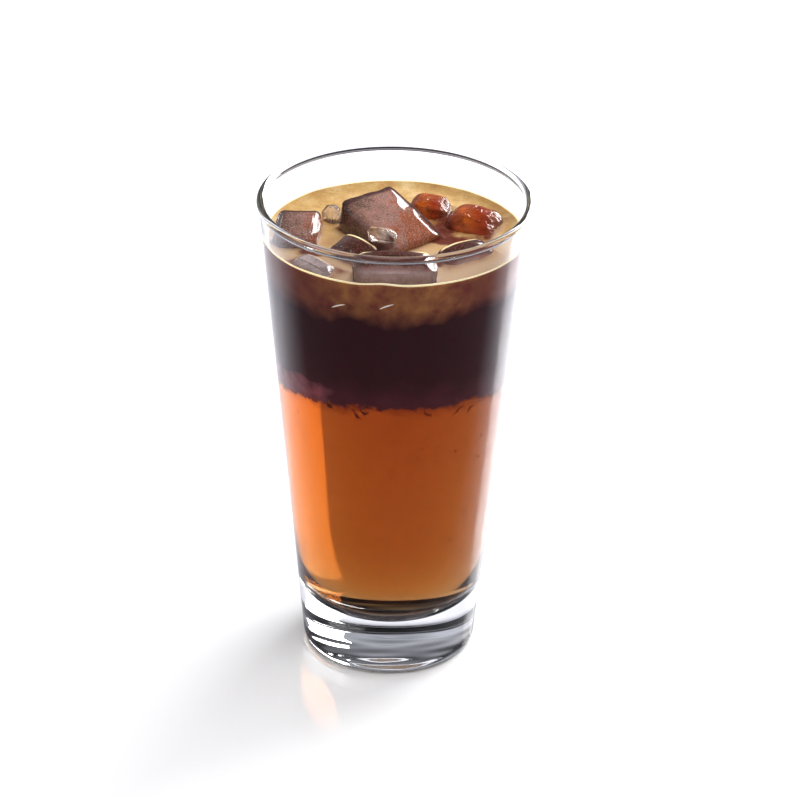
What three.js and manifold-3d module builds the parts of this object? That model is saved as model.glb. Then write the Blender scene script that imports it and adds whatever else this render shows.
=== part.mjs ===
// Iced irish coffee in a conical tumbler: a clear heavy-based glass, an amber layer,
// a dark coffee layer over it, a thin crema on top and blocks of ice breaking the surface.
// Millimetres, +Z up, origin at the centre of the foot, on the table.

import * as THREE from "three";
import { RoundedBoxGeometry } from "three/addons/geometries/RoundedBoxGeometry.js";
import { mergeVertices } from "three/addons/utils/BufferGeometryUtils.js";
import ManifoldModule from "manifold-3d";

// Glass
const HEIGHT = 157.5;
const RIM_RADIUS = 43;
const FOOT_RADIUS = 27.7;
const RIM_BEAD = 1.2;
const BEAD_FADE = 1.4;
const RIM_WALL = 1.2;
const FOOT_WALL = 3;
const FOOT_CORNER = 3;
const PUNT_RADIUS = 21;
const PUNT_DEPTH = 1.2;
const FLOOR = 16;
const FLOOR_FILLET = 18;

// Drink levels
const SURFACE = 143.9;
const CREMA_DEPTH = 0.9;
const MENISCUS_RISE = 2.4;
const MENISCUS_WIDTH = 4.5;
const MENISCUS_FRONT_SHARE = 0.5;
const BLEND_LEVEL = 101.7;
const BLEND_SWING = 2.2;
const WISP_HEIGHT = 1.2;

// Clearances and mesh steps
const GAP = 0.3;
const SEGMENTS = 64;
const ARC_STEPS = 6;
const ICE_STEPS = 2;
const MERGE_DISTANCE = 1e-4;

// Ice: top is the middle of the upper face, in x, y and height above the surface;
// size is width, length and depth; turn is about the vertical, lean about the block's
// own width and length axes, in degrees; round is the radius of its melted edges.
const ICE_TAPER = 0.14;
const ICE = [
  { name: "middle", top: [-0.4, 0.4, 7.25], size: [22.5, 26, 20], turn: 41.8, lean: [18.2, 2.5], round: 1.8 },
  { name: "left", top: [-30.5, -1.4, 4.85], size: [14, 18.5, 17], turn: -6, lean: [8, -4], round: 2.4 },
  { name: "back_right", top: [11.5, 17.8, 5.05], size: [12.8, 11, 14], turn: -12, lean: [4, 5], round: 3.2 },
  { name: "right", top: [25, 8.55, 4.85], size: [17.5, 15.5, 16], turn: -22, lean: [6, 4], round: 4.6 },
  { name: "front_left", top: [-13, -15.2, 4.65], size: [16, 10, 14], turn: -44, lean: [18, 0], round: 2.8 },
  { name: "front", top: [0.3, -30.8, 9.25], size: [26, 10, 19], turn: 1, lean: [4, 0], round: 4.2 },
  { name: "front_right", top: [22.4, -13.2, 3.85], size: [19, 9.5, 15], turn: 36, lean: [8, 3], round: 3.4 },
  { name: "low_left", top: [-24, -23.2, 2.45], size: [17, 8.5, 14], turn: -43, lean: [5, 3], round: 3 },
  { name: "chip_back", top: [-3.2, 27.5, 2.65], size: [4.6, 4, 4.5], turn: 25, lean: [10, -12], round: 0.9 },
  { name: "chip_left", top: [-20.2, 10.4, 5.25], size: [4, 5.5, 8], turn: 55, lean: [-14, 6], round: 0.9 },
  { name: "chip_front", top: [-3.4, -13.4, 7.85], size: [9.5, 6, 2.2], turn: 10, lean: [15, 15], round: 0.8 },
];

const FINISH = {
  glass: { color: 0xf2f5f8, roughness: 0.04, metalness: 0 },
  amber: { color: 0xb8621f, roughness: 0.08, metalness: 0 },
  coffee: { color: 0x3a1d18, roughness: 0.08, metalness: 0 },
  crema: { color: 0xdcb67c, roughness: 0.55, metalness: 0 },
  ice: { color: 0xb79a8a, roughness: 0.2, metalness: 0 },
};

const wasm = await ManifoldModule();
wasm.setup();

// Outer radius of the tumbler's straight cone at height z, without the bead at the rim.
function outerRadius(z) {
  const top = RIM_RADIUS - RIM_BEAD + RIM_WALL / 2;
  return THREE.MathUtils.mapLinear(z, 0, HEIGHT - RIM_BEAD, FOOT_RADIUS, top);
}

// Inner radius at height z: the wall thickens evenly from the rim to the foot.
function innerRadius(z) {
  return outerRadius(z) - THREE.MathUtils.mapLinear(z, 0, HEIGHT - RIM_BEAD, FOOT_WALL, RIM_WALL);
}

// Points on a circular arc in the profile plane, angles in degrees from the +r axis.
function arc(centreR, centreZ, radius, from, to) {
  return Array.from({ length: ARC_STEPS + 1 }, (_, step) => {
    const angle = THREE.MathUtils.degToRad(THREE.MathUtils.lerp(from, to, step / ARC_STEPS));
    return new THREE.Vector2(centreR + radius * Math.cos(angle), centreZ + radius * Math.sin(angle));
  });
}

// The rounded bottom inside, tangent to the leaning wall and to the floor, from wall to floor,
// drawn in by inset.
function floorCorner(inset) {
  const lean = Math.atan2(innerRadius(HEIGHT) - innerRadius(0), HEIGHT);
  const centreZ = FLOOR + FLOOR_FILLET;
  const endZ = centreZ - FLOOR_FILLET * Math.sin(lean);
  const centreR = innerRadius(endZ) - FLOOR_FILLET * Math.cos(lean);
  return arc(centreR, centreZ, FLOOR_FILLET - inset, -THREE.MathUtils.radToDeg(lean), -90);
}

// Solid of revolution about Z from a profile of (r, z) points that starts and ends on the axis.
function revolve(points) {
  return new THREE.LatheGeometry(points, SEGMENTS).rotateX(Math.PI / 2);
}

// Moves every vertex of a geometry by a function that changes the given vector.
function reshape(geometry, move) {
  const position = geometry.attributes.position;
  const point = new THREE.Vector3();
  for (let index = 0; index < position.count; index += 1) {
    move(point.fromBufferAttribute(position, index));
    position.setXYZ(index, point.x, point.y, point.z);
  }
  return geometry;
}

// Height of the boundary between the two layers: a gentle saddle, higher at front and
// back, with wisps that grow towards the wall.
function blendHeight(x, y) {
  const angle = Math.atan2(y, x);
  const reach = (x * x + y * y) / innerRadius(BLEND_LEVEL) ** 2;
  const wisps = 0.6 * Math.sin(7 * angle + 0.6) + 0.4 * Math.sin(11 * angle + 2.1);
  return BLEND_LEVEL + reach * (WISP_HEIGHT * wisps - BLEND_SWING * Math.cos(2 * angle));
}

// Lifts a vertex of the flat boundary sheet to the wavy boundary, keeping its wall gap.
function liftToBlend(point, offset) {
  if (Math.abs(point.z - BLEND_LEVEL) > MERGE_DISTANCE) return;
  const height = blendHeight(point.x, point.y) + offset;
  const spread = (innerRadius(height) - GAP) / (innerRadius(BLEND_LEVEL) - GAP);
  point.set(point.x * spread, point.y * spread, height);
}

// Rings of the boundary sheet as shares of the inner radius, from the wall to the axis.
function blendSheet() {
  return [1, 0.8, 0.5, 0].map((share) => {
    return new THREE.Vector2(share * (innerRadius(BLEND_LEVEL) - GAP), BLEND_LEVEL);
  });
}

// One side of the bead under its round top, from the wall up: it swells from the wall's
// thickness to the bead's. Side is 1 outside and -1 inside.
function beadSide(side) {
  return [1, 0.5].map((share) => {
    const z = HEIGHT - RIM_BEAD - share * BEAD_FADE;
    const swell = (RIM_BEAD - RIM_WALL / 2) * (1 - THREE.MathUtils.smoothstep(share, 0, 1));
    const wall = side > 0 ? outerRadius(z) : innerRadius(z);
    return new THREE.Vector2(wall + side * swell, z);
  });
}

// The tumbler: punt, foot ring, outer cone, beaded rim, inner cone, rounded corner, floor.
function glassGeometry() {
  const lean = Math.atan2(outerRadius(HEIGHT) - FOOT_RADIUS, HEIGHT);
  const footCentre = outerRadius(FOOT_CORNER) - FOOT_CORNER / Math.cos(lean);
  const punt = [0, 0.5, 1].map((share) => {
    return new THREE.Vector2(share * PUNT_RADIUS, PUNT_DEPTH * (1 - share * share));
  });
  return revolve([
    ...punt,
    ...arc(footCentre, FOOT_CORNER, FOOT_CORNER, -90, -THREE.MathUtils.radToDeg(lean)),
    ...beadSide(1),
    ...arc(RIM_RADIUS - RIM_BEAD, HEIGHT - RIM_BEAD, RIM_BEAD, 0, 180),
    ...beadSide(-1).reverse(),
    ...floorCorner(0),
    new THREE.Vector2(0, FLOOR),
  ]);
}

// The amber layer: fills the rounded bottom of the glass up to the wavy boundary.
function amberGeometry() {
  const points = [
    new THREE.Vector2(0, FLOOR + GAP),
    ...floorCorner(GAP).reverse(),
    ...blendSheet(),
  ];
  return reshape(revolve(points), (point) => liftToBlend(point, -GAP / 2));
}

// Rings of a level sheet near the surface, from the wall to the axis, closer where it climbs.
function surfaceSheet(level) {
  const edge = innerRadius(level) - GAP;
  return [edge, edge - MENISCUS_WIDTH / 2, edge - MENISCUS_WIDTH, 0].map((radius) => {
    return new THREE.Vector2(radius, level);
  });
}

// Lifts a vertex of such a sheet as the drink climbs the wall, more at the front than at the back.
function liftToClimb(point, level) {
  if (Math.abs(point.z - level) > MERGE_DISTANCE) return;
  const radius = Math.hypot(point.x, point.y);
  const share = THREE.MathUtils.clamp((radius - innerRadius(level) + GAP) / MENISCUS_WIDTH + 1, 0, 1);
  const front = radius > 0 ? -point.y / radius : 0;
  point.z += MENISCUS_RISE * (1 + MENISCUS_FRONT_SHARE * front) * share * share;
}

// The coffee layer: from the wavy boundary up to the underside of the crema.
function coffeeGeometry() {
  const top = SURFACE - CREMA_DEPTH - GAP;
  const points = [...blendSheet().reverse(), ...surfaceSheet(top)];
  return reshape(revolve(points), (point) => {
    liftToBlend(point, GAP / 2);
    liftToClimb(point, top);
  });
}

// The crema: a thin film whose edge climbs the wall.
function cremaGeometry() {
  const bottom = SURFACE - CREMA_DEPTH;
  const points = [...surfaceSheet(bottom).reverse(), ...surfaceSheet(SURFACE)];
  return reshape(revolve(points), (point) => {
    liftToClimb(point, point.z > SURFACE - CREMA_DEPTH / 2 ? SURFACE : bottom);
  });
}

// A block of ice with rounded edges, narrower below, its upper face centred on the origin.
function iceGeometry({ size, round }, grow) {
  const [width, length, depth] = size.map((side) => side + 2 * grow);
  const block = new RoundedBoxGeometry(width, length, depth, ICE_STEPS, round + grow);
  reshape(block, (point) => {
    const narrowing = 1 - ICE_TAPER * (0.5 - point.z / depth);
    point.set(point.x * narrowing, point.y * narrowing, point.z);
  });
  return block.translate(0, 0, -size[2] / 2);
}

// Places an object as a block of ice lies: turned, leaning, its upper face at its height.
function placeIce(object, { top, turn, lean }) {
  const [x, y, height] = top;
  const [leanWidth, leanLength] = lean.map(THREE.MathUtils.degToRad);
  object.position.set(x, y, SURFACE + height);
  object.rotation.set(leanWidth, leanLength, THREE.MathUtils.degToRad(turn), "ZXY");
  object.updateMatrixWorld();
  return object;
}

// The same geometry as one closed body: shared vertices merged, empty triangles dropped.
function sealed(geometry) {
  const bare = geometry.clone();
  bare.deleteAttribute("normal");
  bare.deleteAttribute("uv");
  const merged = mergeVertices(bare.index ? bare.toNonIndexed() : bare, MERGE_DISTANCE);
  const kept = [];
  const corners = merged.index.array;
  for (let start = 0; start < corners.length; start += 3) {
    const [a, b, c] = corners.slice(start, start + 3);
    if (a !== b && b !== c && c !== a) kept.push(a, b, c);
  }
  merged.setIndex(kept);
  merged.computeVertexNormals();
  return merged;
}

// A boolean solid from a closed geometry.
function solidOf(geometry) {
  const closed = sealed(geometry);
  return new wasm.Manifold(new wasm.Mesh({
    numProp: 3,
    vertProperties: new Float32Array(closed.attributes.position.array),
    triVerts: new Uint32Array(closed.index.array),
  }));
}

// The geometry of a solid's largest connected piece.
function geometryOf(solid) {
  const pieces = solid.decompose().sort((a, b) => b.volume() - a.volume());
  const { vertProperties, triVerts } = pieces[0].getMesh();
  const geometry = new THREE.BufferGeometry();
  geometry.setAttribute("position", new THREE.BufferAttribute(vertProperties, 3));
  geometry.setIndex(new THREE.BufferAttribute(triVerts, 1));
  geometry.computeVertexNormals();
  return geometry;
}

// A drink layer with room for every block of ice cut out of it.
function cutRoundIce(geometry) {
  const cut = ICE.reduce((solid, block) => {
    const place = placeIce(new THREE.Object3D(), block).matrixWorld;
    return solid.subtract(solidOf(iceGeometry(block, GAP).applyMatrix4(place)));
  }, solidOf(geometry));
  return geometryOf(cut);
}

function pieceMesh(name, geometry, finish) {
  const mesh = new THREE.Mesh(geometry, new THREE.MeshStandardMaterial(finish));
  mesh.name = name;
  return mesh;
}

const drink = new THREE.Group();
drink.add(
  pieceMesh("glass", sealed(glassGeometry()), FINISH.glass),
  pieceMesh("amber_layer", sealed(amberGeometry()), FINISH.amber),
  pieceMesh("coffee_layer", cutRoundIce(coffeeGeometry()), FINISH.coffee),
  pieceMesh("crema", cutRoundIce(cremaGeometry()), FINISH.crema),
);
for (const block of ICE) {
  const mesh = pieceMesh(`ice_${block.name}`, sealed(iceGeometry(block, 0)), FINISH.ice);
  drink.add(placeIce(mesh, block));
}

export default drink;
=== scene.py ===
"""Iced irish coffee in a conical tumbler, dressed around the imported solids.

The glass, the drink, the crema and the ice are surfaces worked out with numpy from a few
sizes in metres. The drink fills the glass as one clear amber body that reaches just into
the wall; the coffee is a darker stain inside that body; the ice is cut out of both.
"""
import math
from collections import namedtuple

import bpy
import numpy as np
from mathutils import Matrix, Vector


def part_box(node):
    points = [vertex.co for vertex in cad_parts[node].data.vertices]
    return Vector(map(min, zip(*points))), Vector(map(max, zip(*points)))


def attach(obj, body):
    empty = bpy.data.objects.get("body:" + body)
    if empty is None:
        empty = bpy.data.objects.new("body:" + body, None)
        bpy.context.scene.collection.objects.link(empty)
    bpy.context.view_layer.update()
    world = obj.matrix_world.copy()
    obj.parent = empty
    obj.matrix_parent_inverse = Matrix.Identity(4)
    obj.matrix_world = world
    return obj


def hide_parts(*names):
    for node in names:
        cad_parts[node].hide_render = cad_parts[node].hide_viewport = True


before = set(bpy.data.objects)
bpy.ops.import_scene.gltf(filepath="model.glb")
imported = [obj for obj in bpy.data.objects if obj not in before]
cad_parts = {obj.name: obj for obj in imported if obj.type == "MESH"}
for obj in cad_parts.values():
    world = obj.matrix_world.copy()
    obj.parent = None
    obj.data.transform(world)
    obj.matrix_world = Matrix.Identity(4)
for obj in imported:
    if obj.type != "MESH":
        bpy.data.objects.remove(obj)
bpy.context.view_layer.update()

MM = 0.001

# Glass, as the solid has it
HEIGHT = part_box("glass")[1].z
RIM_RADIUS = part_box("glass")[1].x
FOOT_RADIUS = 27.7 * MM
RIM_BEAD = 1.2 * MM
BEAD_FADE = 1.4 * MM
RIM_WALL = 1.2 * MM
FOOT_WALL = 3.0 * MM
FOOT_CORNER = 3.0 * MM
PUNT_RADIUS = 21.0 * MM
PUNT_DEPTH = 1.2 * MM
PUNT_RIPPLE = 0.14 * MM
PUNT_RIPPLE_LENGTH = 14.0 * MM
PUNT_RIPPLE_STRETCH = (1, 2, 1)
PUNT_RIPPLE_FADE = 6
FLOOR = 16.0 * MM
FLOOR_FILLET = 18.0 * MM
WET_MARGIN = 0.3 * MM

# Surface of the drink, and the crema on it
SURFACE = 143.9 * MM
CREMA_FILM = 0.9 * MM
CREMA_LEAST = 0.3 * MM
CREMA_SWELL = 0.1 * MM
CREMA_SWELL_LENGTH = 17.0 * MM
FILM_THINNING = 0.45
MENISCUS_RISE = 2.4 * MM
MENISCUS_WIDTH = 4.5 * MM
MENISCUS_FRONT_SHARE = 0.5
HUMP_RISE = 0.8 * MM
HUMP_TURN = math.radians(-95)
HUMP_SPREAD = math.radians(7)
ICE_CLIMB_RISE = 0.9 * MM
ICE_CLIMB_WIDTH = 1.1 * MM
FOAM_RING = 0.9 * MM

# Boundary between the layers; each wave is its share, its number round the glass and its phase
BLEND_LEVEL = 101.7 * MM
BLEND_SWING = 2.2 * MM
BLEND_DROP = 4.0 * MM
BLEND_RIPPLE = 0.8 * MM
BLEND_RIPPLE_LENGTH = 7.0 * MM
BLEND_WAVE_HEIGHT = 1.2 * MM
BLEND_WAVES = ((0.6, 7, 0.6), (0.4, 11, 2.1))
ICE_SHOWS = 8.0 * MM
ICE_SEEN = ("ice_front",)

# How far the drink reaches into the wall, and how the nested surfaces keep apart
WALL_REACH = 0.08 * MM
NEST = 0.05 * MM
STAIN_INSET = 0.1 * MM

# Mesh steps, the innermost rings, and the angles past which edges stay sharp
AROUND = 256
PROFILE_STEPS = 24
FOOT_STEPS = 8
LIP_STEPS = 40
FLOOR_ARC_STEPS = 40
GLASS_WALL_STEPS = 60
DRINK_WALL_STEPS = 70
DRINK_RINGS = 40
COFFEE_RINGS = 48
COFFEE_WALL_STEPS = 44
CREMA_RINGS = 110
ICE_STEPS = 34
ICE_CROWDING = 1.35
MERGE_DIGITS = 6
PUNT_START = 0.02
FLOOR_RING = 0.4 * MM
SURFACE_RING = 0.5 * MM
CARVED_EDGE = math.radians(40)
ICE_EDGE = math.radians(28)

# Plane waves of an uneven surface: the spread of their lengths, then number and seed of each set
WAVE_STRETCH = (0.7, 1.4)
PUNT_WAVES = (9, 11)
CREMA_WAVES = (6, 5)
BLEND_RIPPLES = (9, 21)
ICE_WAVES = 7

# Colours
WHITE = (1.0, 1.0, 1.0)
BLACK = (0.0, 0.0, 0.0)
AMBER_DEPTH = (0.785, 0.53, 0.14)
COFFEE_DEPTH = (0.4, 0.2, 0.1)
ICE_DEPTH = (0.62, 0.3, 0.15)
HAZE_LOW = (0.085, 0.013, 0.02)
HAZE_FRINGE = (0.145, 0.028, 0.042)
HAZE_HIGH = (0.36, 0.078, 0.06)
# Ice seen through the coffee: partly its own colour, partly painted light coming down through it
HAZE_LIT_ICE = (0.8, 0.32, 0.11)
HAZE_LEFT = (0.7, 0.2, 0.25)
# Painted highlights: pale streaks on the coffee at the front wall, and their glow
GLINT = (0.95, 0.88, 0.82)
GLINT_GLOW = (0.45, 0.38, 0.34)
FOAM_TONES = ((0.34, (0.4, 0.2, 0.06)), (0.52, (0.56, 0.35, 0.13)), (0.7, (0.74, 0.55, 0.29)))
FOAM_THIN = (0.46, 0.315, 0.2)
FOAM_PARTED = (0.13, 0.03, 0.018)
# Painted light: the pale line of crema at the wall, and the glow painted on it
FOAM_RIM_PAINTED_LIGHT = (1.0, 0.86, 0.6)
FOAM_RIM_PAINTED_GLOW = (0.38, 0.3, 0.17)
# Crema clinging along ice edges, with a painted highlight
CREMA_CLING_AND_HIGHLIGHT = (0.92, 0.72, 0.4)
# Dark of the speckle on the ice, also painted shade at the ends of a block
ICE_SPECK_AND_SHADE = (0.07, 0.03, 0.025)
ICE_FROST = (0.64, 0.45, 0.37)
# Painted shade along the back edges of the ice, as the dark room mirrored in them
ICE_EDGE_SHADE = (0.05, 0.025, 0.025)
ROOM_NEAR = (0.08, 0.075, 0.095)
ROOM_DARK = (0.03, 0.03, 0.035)
ROOM_FAR = (0.55, 0.57, 0.64)
ROOM_SOFT = (0.6, 0.6, 0.61)
TABLE = (0.86, 0.86, 0.865)
TABLE_COOL = (0.82, 0.82, 0.89)
# Painted shade on the near table, seen only in mirror images
TABLE_NEAR_PAINTED_SHADE = (0.1, 0.098, 0.11)

# How far the clear bodies bend light, and how fast they take colour with depth
GLASS_IOR = 1.5
DRINK_IOR = 1.345
ICE_IOR = 1.31
AMBER_DENSITY = 102.0
COFFEE_DENSITY = 80.0
ICE_DENSITY = 60.0

# Ice, as the solids have it: middle of the upper face in x, y and height above the surface,
# width, length and depth, turn and two leans in degrees, edge radius, and the finish.
# Lengths are in millimetres.
Block = namedtuple("Block", "name top size turn lean radius finish")
ICE = (
    Block("ice_middle", (-0.4, 0.4, 7.25), (22.5, 26, 20), 41.8, (18.2, 2.5), 1.8, "frosted"),
    Block("ice_left", (-30.5, -1.4, 4.85), (14, 18.5, 17), -6, (8, -4), 2.4, "brown"),
    Block("ice_back_right", (11.5, 17.8, 5.05), (12.8, 11, 14), -12, (4, 5), 3.2, "amber"),
    Block("ice_right", (25, 8.55, 4.85), (17.5, 15.5, 16), -22, (6, 4), 4.6, "amber"),
    Block("ice_front_left", (-13, -15.2, 4.65), (16, 10, 14), -44, (18, 0), 2.8, "dark"),
    Block("ice_front", (0.3, -30.8, 9.25), (26, 10, 19), 1, (4, 0), 4.2, "dark"),
    Block("ice_front_right", (22.4, -13.2, 3.85), (19, 9.5, 15), 36, (8, 3), 3.4, "dark"),
    Block("ice_low_left", (-24, -23.2, 2.45), (17, 8.5, 14), -43, (5, 3), 3, "pale"),
    Block("ice_chip_back", (-3.2, 27.5, 2.65), (4.6, 4, 4.5), 25, (10, -12), 0.9, "clear"),
    Block("ice_chip_left", (-20.2, 10.4, 5.25), (4, 5.5, 8), 55, (-14, 6), 0.9, "clear"),
    Block("ice_chip_front", (-3.4, -13.4, 7.85), (9.5, 6, 2.2), 10, (15, 15), 0.8, "clear"),
)

# Ice wholly under the surface, in the same terms
SUNK_ICE = (
    Block("ice_sunk_right", (19, -25, -2.65), (15, 9, 10), 40, (14, -8), 2.4, "clear"),
    Block("ice_sunk_back", (4, 30, -3.15), (16, 9, 12), 4, (8, 6), 2.4, "clear"),
)
ICE_TAPER = 0.14
ICE_CROWN = 0.5 * MM
ICE_RIPPLE = 0.24 * MM
ICE_RIPPLE_LENGTH = 9.0 * MM
SMALL_BLOCK = 5.0 * MM
FLAT_FACING = 0.99

# Chips off the upper edges and corners: how many, and the spreads of their leans and depths
ICE_CHIPS = 7
CHIP_LEANS = (0.25, 1)
CHIP_DEPTHS = (0.5, 1)

# Melted flats on upper edges: tilt from the upper face and direction in degrees, then width and
# the stretch of the block's length they lie on, in millimetres
PAST_END = 30
WHOLE = (-PAST_END, PAST_END)
FAR_HALF = (0.5, PAST_END)
NEAR_HALF = (-PAST_END, -0.5)
FLAT_FADE = 0.7 * MM
Flat = namedtuple("Flat", "tilt turn width stretch")
FLATS = {
    "ice_middle": (Flat(14, -12, 7.8, FAR_HALF), Flat(22, -6, 4.6, NEAR_HALF), Flat(30, 4, 3.2, WHOLE)),
    "ice_front": (Flat(45, -10, 4.4, WHOLE),),
    "ice_right": (Flat(38, 20, 3.8, WHOLE),),
    "ice_back_right": (Flat(42, 0, 1.9, WHOLE),),
    "ice_left": (Flat(50, 0, 1.8, WHOLE),),
    "ice_low_left": (Flat(33, 40, 4.8, WHOLE),),
}

# Finishes of the ice. For the shape: depth of chips and fall of the upper face to its ends.
# For the line along the back edges, painted shade on some finishes and crema clinging with a
# painted highlight on others: its width, how far up a point has to face, its share and colour.
# For the skin: the value that leads its tone, the tones, which hold painted light and shade, its
# cover, and the strengths of painted shade at the ends, speckle and melted hollows.
IceLook = namedtuple("IceLook", "chip dome line_width line_facing line line_colour "
                                "lead tones cover ends grain melt")
ICE_LOOKS = {
    # Own colour with painted shade at the left and painted light, orange, at the right
    "frosted": IceLook(
        0.15 * MM, 0, 3.2 * MM, 0.3, 0.95, ICE_EDGE_SHADE, "across",
        ((0.12, (0.045, 0.022, 0.015)), (0.28, (0.24, 0.12, 0.092)), (0.5, (0.31, 0.15, 0.122)),
         (0.66, (0.24, 0.06, 0.022))), 0.85, 0.3, 0.5, 0.4),
    # Own colour with painted shade at the left and painted light, orange, at the right
    "brown": IceLook(
        0.3 * MM, 0, 1.5 * MM, 0.3, 0.95, ICE_EDGE_SHADE, "across",
        ((0.12, (0.045, 0.022, 0.016)), (0.4, (0.15, 0.065, 0.05)), (0.65, (0.22, 0.105, 0.08)),
         (0.9, (0.35, 0.08, 0.03))), 0.85, 0.4, 0.6, 0.5),
    # Painted light: from dark red through a bright orange glow, as of light passing through the ice
    "amber": IceLook(
        0.9 * MM, 1.0 * MM, 1.5 * MM, 0.3, 0.6, ICE_EDGE_SHADE, "across",
        ((0.1, (0.3, 0.03, 0.004)), (0.35, (0.75, 0.14, 0.012)), (0.6, (0.5, 0.042, 0.003)),
         (0.9, (0.4, 0.1, 0.045))), 0.45, 0.5, 0.15, 2.8),
    # Painted shade: faces that look up are darkest, the sides paler
    "dark": IceLook(
        0.4 * MM, 1.3 * MM, 1.15 * MM, 0.78, 1.0, CREMA_CLING_AND_HIGHLIGHT, "upper",
        ((0.15, (0.46, 0.33, 0.33)), (0.45, (0.28, 0.13, 0.11)), (0.72, (0.06, 0.015, 0.01))),
        0.85, 0.9, 0.2, 0.7),
    # Painted shade: faces that look up a little darker than the sides
    "pale": IceLook(
        0.6 * MM, 0.8 * MM, 1.15 * MM, 0.78, 0.4, CREMA_CLING_AND_HIGHLIGHT, "upper",
        ((0.2, (0.62, 0.53, 0.53)), (0.85, (0.5, 0.4, 0.39))), 0.6, 0.8, 0.4, 0.8),
    "clear": IceLook(
        0.5 * MM, 0, 1.15 * MM, 0.78, 0.3, CREMA_CLING_AND_HIGHLIGHT, "across",
        ((0.2, (0.7, 0.4, 0.2)), (0.7, (0.85, 0.75, 0.66))), 0.2, 0.0, 0.2, 0.8),
}
LINE_FADE = 0.6 * MM
LINE_FACING_FADE = 8
LINE_LEAST_SLANT = 0.05
ROUNDED_SHARE = 0.6
# Width of the painted shade at the ends of a block
END_SHADE_WIDTH = 3.4 * MM

# Where the foam has parted between blocks, as middles and reaches in x and y, in millimetres
POOLS = (
    (15.0, 6.0, 6.0, 11.0), (20.0, 13.0, 5.0, 5.5), (20.0, -2.5, 10.0, 4.0), (7.0, 16.0, 5.0, 4.0),
    (-24.0, -12.5, 7.0, 3.0), (9.0, -19.5, 7.0, 2.5), (-12.0, 11.0, 5.0, 3.0),
)
POOL_STEEPNESS = 1.5

# Camera, fitted to the rim, foot and sides in the photograph
PICTURE_SIDE = 800
SENSOR = 36.0
FOCAL_PIXELS = 3600.0
CAMERA_ELEVATION = math.radians(28.81)
CAMERA_ROLL = math.radians(0.867)
CAMERA_DISTANCE = 1155.6 * MM
CAMERA_TARGET = Vector((0, 0, 75 * MM))
TARGET_PIXEL = (391.4, 430.9)

# Places read from the photograph, in its pixels; threads also have a radius in millimetres
BUBBLE_PIXELS = (
    (364, 449), (395, 440), (421, 447), (417, 458), (434, 460), (437, 445), (453, 449), (358, 469),
    (382, 482), (456, 499), (461, 509), (447, 537), (474, 454), (477, 433), (302, 410),
)
THREAD_PIXELS = (
    ((352, 408), (362, 418), 0.35), ((360, 410), (370, 412), 0.4), ((423, 410), (431, 416), 0.28),
    ((450, 413), (462, 404), 0.3), ((464, 410), (471, 403), 0.35), ((285, 380), (294, 388), 0.6),
    ((325, 400), (335, 405), 0.5),
)
GLINT_PIXELS = (((379, 308), (394, 303)), ((332, 306), (346, 303)))
GLINT_WIDTH = 0.24 * MM
GLINT_STEEPNESS = 3.0

# Bubbles: radius, the least and the spread of their scales, and the rings of each ball
BUBBLE_RADIUS = 0.42 * MM
BUBBLE_INSET = 0.7 * MM
BUBBLE_LEAST = 0.7
BUBBLE_SPREAD = 0.5
BUBBLE_SEED = 3
BALL_LATITUDE = 80
BALL_RINGS = 7
BALL_AROUND = 12

# Threads of coffee: the share of the path they cover, how they waver, taper and swell
THREAD_ENDS = (0.02, 0.98)
THREAD_STEPS = 18
THREAD_AROUND = 10
THREAD_INSET = 0.4 * MM
THREAD_WAVER = 1.4
THREAD_WAVER_TURN = 7
THREAD_TAPER = 0.6
THREAD_SWELL = 0.3
THREAD_SWELL_TURN = 13

# Coffee: the haze at the wall, its uneven lower edge and its paler upper part. Here and below
# a noise is its grain size, detail and roughness, and a ramp its slope and offset. Curls, the
# scallop and swings are the grain size, detail and height of a noise about zero.
HAZE_LEVEL = 132.2 * MM
HAZE_FADE = 6.0 * MM
HAZE_SHARE = 0.93
WALL_SKIN = 0.5 * MM
STAIN_FADE = 0.1 * MM
BOUNDARY_LIFT = 1.8 * MM
BOUNDARY_FADE = 0.9 * MM
CURL_FINE = (2.2 * MM, 3.0, 5.0 * MM)
CURL_WIDE = (9.0 * MM, 3.0, 6.0 * MM)
SCALLOP = (17.0 * MM, 2.0, 16.0 * MM)
FRINGE_SWING = (12.0 * MM, 3.0, 1.6)
FRINGE_HEIGHT = 9.0 * MM
PATCH_NOISE = (6.0 * MM, 3.0)
PATCH_RAMP = (2.2, -0.66)
ICE_GLIMPSE = 2.0
SMEAR_LEFT = 28.0 * MM
SMEAR_REACH = 11.0 * MM
SMEAR_LIFT = 1.5 * MM
SMEAR_HEIGHT = 5.0 * MM
SMEAR_SWING = (6.0 * MM, 4.0, 2.4)
SMEAR_STEEPNESS = 0.9
SMEAR_SHARE = 0.8
AHEAD_RAMP = (-1 / (20.0 * MM), 0.6)
FRONT_RAMP = (-1000.0, 0.0)
THREAD_NOISE = (2.5 * MM, 2.0)
THREAD_RAMP = (1.8, -0.35)

# Crema: mottle, fine bubbles, the thinner front, and the pale line at the wall, which is painted light with
# a painted glow
MOTTLE_NOISE = (9.0 * MM, 4.0, 0.6)
FOAM_NOISE = (0.7 * MM, 2.0)
MOTTLE_SHARE = 0.8
FOAM_SHARE = 0.25
THIN_START = 0.25
THIN_FADE = 26.0 * MM
THIN_MOTTLE = 0.8
WARP_MOTTLE = 2.0
WARP_FOAM = 0.8
RING_SLOPE = 3.0
RING_OFFSET = 0.8
RIM_FADE = 0.3 * MM
FOAM_RELIEF = 0.25 * MM
FOAM_RELIEF_STRENGTH = 0.35
FOAM_SCATTER = 1.2 * MM
FOAM_SCATTER_RADIUS = (1.0, 0.8, 0.5)

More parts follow.
